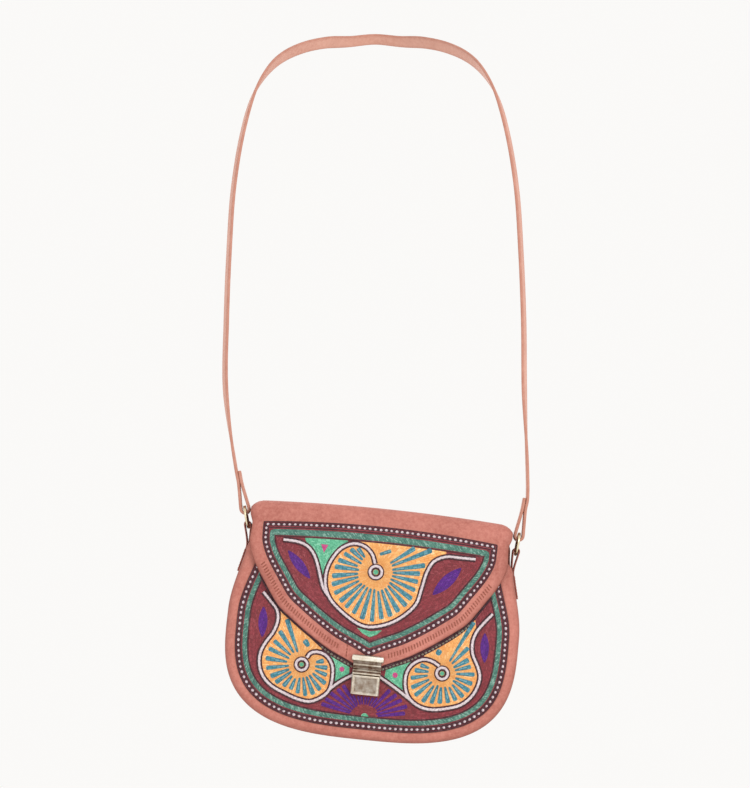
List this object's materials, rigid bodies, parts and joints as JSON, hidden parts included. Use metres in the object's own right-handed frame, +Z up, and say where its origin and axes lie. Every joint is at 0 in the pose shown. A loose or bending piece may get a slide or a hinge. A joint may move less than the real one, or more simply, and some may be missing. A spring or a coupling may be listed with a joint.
{
  "type": "embroidered crossbody bag",
  "caption": "Leather shoulder bag with a round bottom, an embroidered front and pointed flap, a brass slide lock and a long flat strap on side rings.",
  "frame": {"origin": "the spot where the inside of the strap lies on the back of the neck that carries it", "axes": "+Z up, front of the bag faces -Y, +X to the right seen from the front; the bag hangs tilted by 5.8 degrees, its right side lower"},
  "size_m": [0.3246, 0.2677, 0.8084],
  "materials": {
    "bag_leather": "smooth pink-brown leather with a soft grain and worn edges",
    "strap_leather": "paler pink leather, slightly rubbed",
    "embroidery": "cotton and silk thread in chain and satin stitch on a maroon ground",
    "brass": "polished, slightly tarnished in its corners"
  },
  "bodies": {
    "bag": {"back_panel": "bag_leather", "gusset": "bag_leather", "front_panel": "bag_leather", "front_embroidery": "embroidery", "flap": "bag_leather", "flap_embroidery": "embroidery", "tab_left": "bag_leather", "tab_right": "bag_leather", "ring_left": "brass", "ring_right": "brass", "strap": "strap_leather", "lock_plate": "brass", "lock_housing": "brass"},
    "slide": {"lock_slide": "brass"}
  },
  "joints": [
    {"name": "lock_slide", "type": "slide", "parent": "bag", "child": "slide", "axis": [-0.1011, 0, -0.9949], "range_m": [0, 0.003], "stiffness_N_per_m": 300, "springref_m": -0.01}
  ]
}
